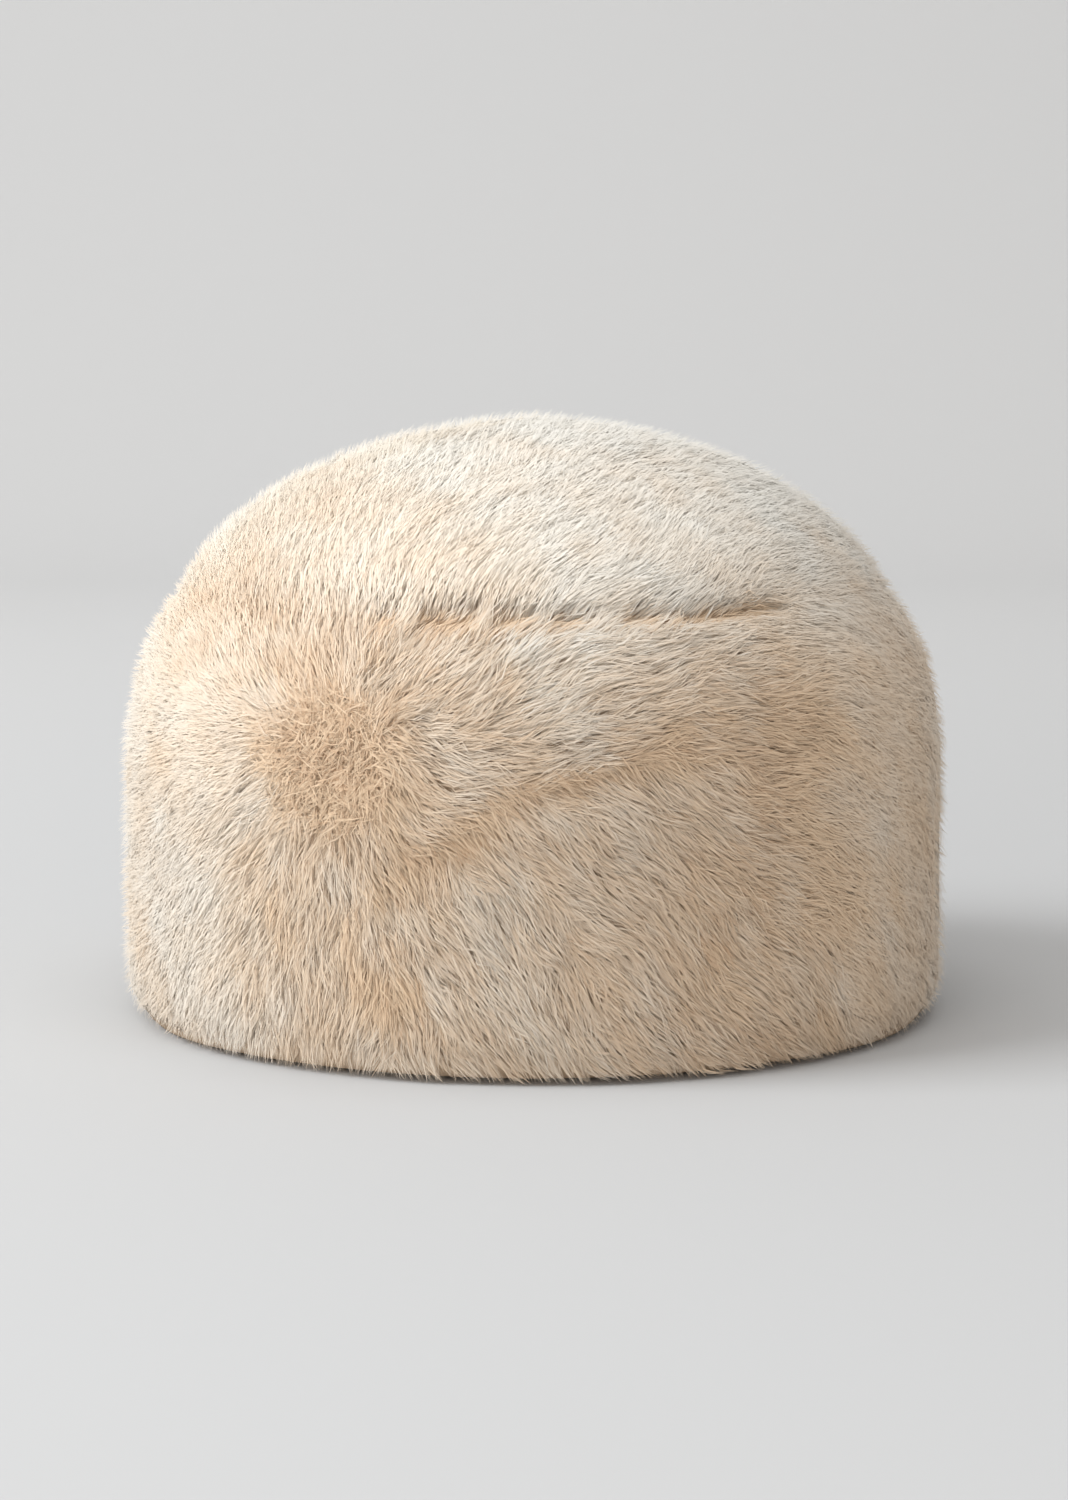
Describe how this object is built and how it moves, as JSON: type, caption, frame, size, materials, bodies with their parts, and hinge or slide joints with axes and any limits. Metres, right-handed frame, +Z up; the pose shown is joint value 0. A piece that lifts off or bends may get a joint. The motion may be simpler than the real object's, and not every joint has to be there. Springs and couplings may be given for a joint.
{
  "type": "fur hat",
  "caption": "Tall round fur hat: a domed crown sewn to an upright band, dense short pile outside, bare hide inside, open underneath for the head.",
  "frame": {"origin": "on the floor under the middle of the hat, at the bottom centre of its box", "axes": "+Z up to the crown, -Y the front shown in the picture, +X the wearer's left; the hat is longer from front to back, along Y, than across"},
  "size_m": [0.2194, 0.2311, 0.1583],
  "materials": {
    "hide": "matt suede-like flesh side of the pelt, undyed light tan",
    "fur": "soft dense pile, cream at the tips and tan at the roots, slight sheen"
  },
  "bodies": {
    "root": {"band_hide": "hide", "crown_hide": "hide", "band_pile": "fur", "crown_pile": "fur"}
  },
  "joints": []
}
